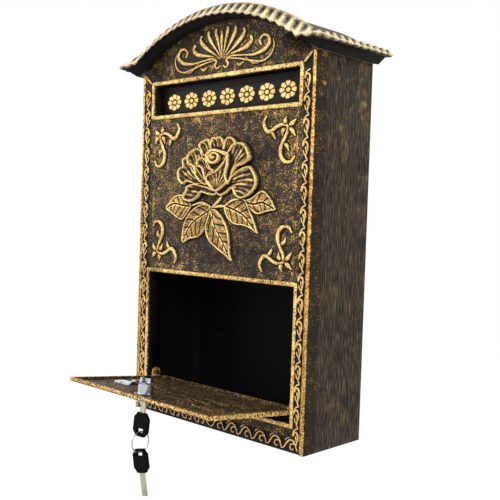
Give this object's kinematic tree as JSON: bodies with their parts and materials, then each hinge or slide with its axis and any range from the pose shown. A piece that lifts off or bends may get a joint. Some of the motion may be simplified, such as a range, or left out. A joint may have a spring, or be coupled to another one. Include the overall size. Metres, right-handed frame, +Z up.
{
  "type": "wall mounted post box",
  "caption": "Wall post box with a carved rose front under a fluted roof, a swinging letter flap and a drop-down cam-locked door.",
  "frame": {"origin": "middle of the four wall holes on the back plane", "axes": "+Z up, front faces -Y, +Y into the wall"},
  "size_m": [0.2972, 0.1898, 0.4789],
  "materials": {
    "antique_gold": "matte",
    "dark_bronze": "matte",
    "zinc": "satin",
    "bright_chrome": "polished",
    "nickel_brass": "satin",
    "black_plastic": "matte"
  },
  "bodies": {
    "box": {"front_casting": "antique_gold", "body_shell": "dark_bronze", "back_plate": "dark_bronze", "roof_casting": "antique_gold", "roof_screws": "zinc", "front_screws": "zinc", "back_rivets": "zinc", "flap_pin": "zinc", "flap_pin_clips": "zinc", "door_hinge_pins": "zinc"},
    "flap": {"letter_flap": "antique_gold"},
    "door": {"door_casting": "antique_gold", "lock_housing": "bright_chrome", "lock_ring_nut": "bright_chrome", "lock_star_washer": "bright_chrome"},
    "lock": {"lock_plug": "bright_chrome", "lock_cam": "bright_chrome", "cam_nut": "bright_chrome", "cam_washer": "bright_chrome"},
    "key": {"key_blade": "nickel_brass", "key_bow": "black_plastic"},
    "ring": {"key_ring": "zinc"},
    "spare_key": {"spare_key_blade": "nickel_brass", "spare_key_bow": "black_plastic"}
  },
  "joints": [
    {"name": "flap_swing", "type": "hinge", "parent": "box", "child": "flap", "pos_m": [0, -0.0746, 0.1683], "axis": [1, 0, 0], "range_deg": [0, 75]},
    {"name": "door_swing", "type": "hinge", "parent": "box", "child": "door", "pos_m": [0, -0.0767, -0.1476], "axis": [1, 0, 0], "range_deg": [-83.7, 0]},
    {"name": "lock_turn", "type": "hinge", "parent": "door", "child": "lock", "pos_m": [0, -0.17461, -0.13679], "axis": [0, 0.1097, 0.994], "range_deg": [0, 90]},
    {"name": "key_withdraw", "type": "slide", "parent": "lock", "child": "key", "axis": [0, -0.1097, -0.994], "range_m": [0, 0.016]},
    {"name": "ring_swing", "type": "hinge", "parent": "key", "child": "ring", "pos_m": [0, -0.17899, -0.17655], "axis": [0, 1, 0], "range_deg": [-45, 45]},
    {"name": "spare_key_swing", "type": "hinge", "parent": "ring", "child": "spare_key", "pos_m": [0, -0.17899, -0.19655], "axis": [0, 1, 0], "range_deg": [-45, 45]}
  ]
}
